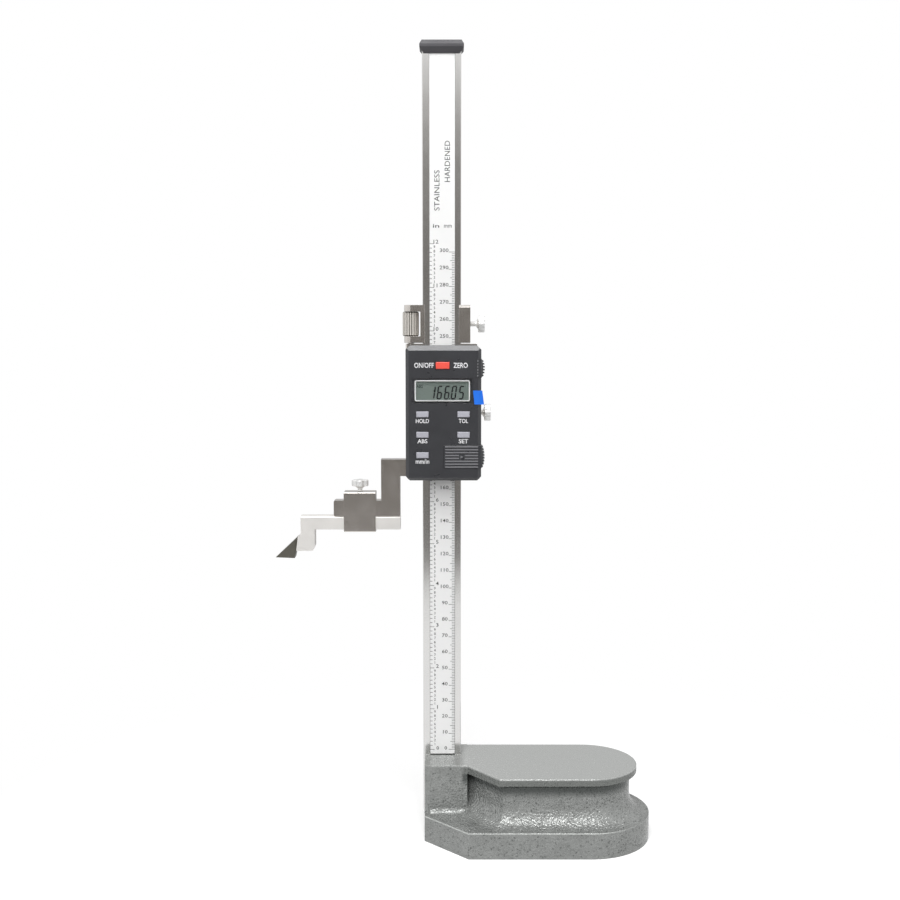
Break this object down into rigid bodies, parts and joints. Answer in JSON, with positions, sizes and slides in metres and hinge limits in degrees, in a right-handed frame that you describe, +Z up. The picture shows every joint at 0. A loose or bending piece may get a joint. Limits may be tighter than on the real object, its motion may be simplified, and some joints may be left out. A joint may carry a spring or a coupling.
{
  "type": "digital height gauge",
  "caption": "Digital height gauge: cast base, graduated steel beam, fine-feed carriage, display slider with keys, and a carbide-tipped scriber clamped to its jaw.",
  "frame": {"origin": "on the flat underside of the base, straight below the middle of the beam's front face", "axes": "+Z up the beam, +X to the right along the base's length as seen from the dial side, +Y to the back"},
  "size_m": [0.2243, 0.0762, 0.4685],
  "materials": {
    "hammertone_paint": "grey hammertone paint over a casting",
    "hardened_steel": "ground",
    "strip_laminate": "glass-fibre laminate",
    "printed_scale": "satin printed film",
    "cap_plastic": "moulded",
    "black_oxide_steel": "blackened",
    "satin_chrome_steel": "satin chrome",
    "bronze": "scraped",
    "bright_steel": "turned and polished",
    "housing_plastic": "fine moulded texture",
    "dark_plastic": "moulded",
    "board_laminate": "green solder mask",
    "lcd_glass": "reflective liquid crystal",
    "bezel_plastic": "pale moulded",
    "clear_window": "clear acrylic",
    "clear_film": "clear protective film",
    "blue_film": "blue protective film",
    "mat_rubber": "silicone",
    "key_grey": "moulded",
    "key_red": "moulded",
    "cell_steel": "nickel plated",
    "contact_metal": "spring temper",
    "ground_steel": "ground",
    "carbide": "lapped"
  },
  "bodies": {
    "stand": {"base_casting": "hammertone_paint", "beam": "hardened_steel", "stator_strip": "strip_laminate", "scale_label": "printed_scale", "beam_end_cap": "cap_plastic", "beam_fixing_screws": "black_oxide_steel"},
    "carriage": {"fine_carriage": "satin_chrome_steel", "carriage_gib": "bronze"},
    "carriage_lock_screw": {"carriage_lock_screw": "bright_steel"},
    "feed_nut": {"feed_nut": "bright_steel"},
    "slider": {"slider_frame": "satin_chrome_steel", "slider_gib": "bronze", "gib_set_screws": "black_oxide_steel", "feed_screw": "ground_steel", "display_housing": "housing_plastic", "housing_back": "dark_plastic", "housing_screws": "black_oxide_steel", "circuit_board": "board_laminate", "sensor_board": "board_laminate", "lcd_panel": "lcd_glass", "lcd_bezel": "bezel_plastic", "display_window": "clear_window", "screen_film": "clear_film", "film_tab": "blue_film", "keypad_mat": "mat_rubber", "port_socket": "dark_plastic", "battery_cell": "cell_steel", "battery_contacts": "contact_metal"},
    "slider_lock_screw": {"slider_lock_screw": "bright_steel"},
    "battery_cover": {"battery_cover": "housing_plastic"},
    "port_cover": {"port_cover": "housing_plastic"},
    "scriber_clamp": {"scriber_clamp": "satin_chrome_steel"},
    "scriber_clamp_screw": {"scriber_clamp_screw": "bright_steel"},
    "scriber": {"scriber": "ground_steel", "carbide_tip": "carbide"},
    "button_zero": {"button_zero": "key_red"},
    "button_hold": {"button_hold": "key_grey"},
    "button_abs": {"button_abs": "key_grey"},
    "button_unit": {"button_unit": "key_grey"},
    "button_tol": {"button_tol": "key_grey"},
    "button_set": {"button_set": "key_grey"}
  },
  "joints": [
    {"name": "coarse_slide", "type": "slide", "parent": "stand", "child": "carriage", "axis": [0, 0, 1], "range_m": [-0.166, 0.143]},
    {"name": "nut_spin", "type": "hinge", "parent": "carriage", "child": "feed_nut", "pos_m": [-0.0184, 0.004, 0.3059], "axis": [0, 0, 1], "range_deg": [-257.2, 1800.1]},
    {"name": "fine_feed", "type": "slide", "parent": "carriage", "child": "slider", "axis": [0, 0, 1], "range_m": [-0.0035, 0.0005]},
    {"name": "carriage_lock", "type": "hinge", "parent": "carriage", "child": "carriage_lock_screw", "pos_m": [0.0168, 0.004, 0.3059], "axis": [1, 0, 0], "range_deg": [0, 270]},
    {"name": "slider_lock", "type": "hinge", "parent": "slider", "child": "slider_lock_screw", "pos_m": [0.0205, 0.004, 0.2534], "axis": [1, 0, 0], "range_deg": [0, 270]},
    {"name": "clamp_slide", "type": "slide", "parent": "slider", "child": "scriber_clamp", "axis": [1, 0, 0], "range_m": [-0.006, 0.003]},
    {"name": "scriber_clamp_turn", "type": "hinge", "parent": "scriber_clamp", "child": "scriber_clamp_screw", "pos_m": [-0.0491, 0.004, 0.206], "axis": [0, 0, 1], "range_deg": [0, 270]},
    {"name": "scriber_slide", "type": "slide", "parent": "slider", "child": "scriber", "axis": [1, 0, 0], "range_m": [-0.014, 0.011]},
    {"name": "battery_cover_slide", "type": "slide", "parent": "slider", "child": "battery_cover", "axis": [1, 0, 0], "range_m": [0, 0.021]},
    {"name": "port_cover_slide", "type": "slide", "parent": "slider", "child": "port_cover", "axis": [1, 0, 0], "range_m": [0, 0.0024]},
    {"name": "press_zero", "type": "slide", "parent": "slider", "child": "button_zero", "axis": [0, 1, 0], "range_m": [0, 0.0005], "stiffness_N_per_m": 800},
    {"name": "press_hold", "type": "slide", "parent": "slider", "child": "button_hold", "axis": [0, 1, 0], "range_m": [0, 0.0005], "stiffness_N_per_m": 800},
    {"name": "press_abs", "type": "slide", "parent": "slider", "child": "button_abs", "axis": [0, 1, 0], "range_m": [0, 0.0005], "stiffness_N_per_m": 800},
    {"name": "press_unit", "type": "slide", "parent": "slider", "child": "button_unit", "axis": [0, 1, 0], "range_m": [0, 0.0005], "stiffness_N_per_m": 800},
    {"name": "press_tol", "type": "slide", "parent": "slider", "child": "button_tol", "axis": [0, 1, 0], "range_m": [0, 0.0005], "stiffness_N_per_m": 800},
    {"name": "press_set", "type": "slide", "parent": "slider", "child": "button_set", "axis": [0, 1, 0], "range_m": [0, 0.0005], "stiffness_N_per_m": 800}
  ],
  "couplings": [
    {"joint": "nut_spin", "follows": "fine_feed", "rad_per_m": -8976}
  ]
}
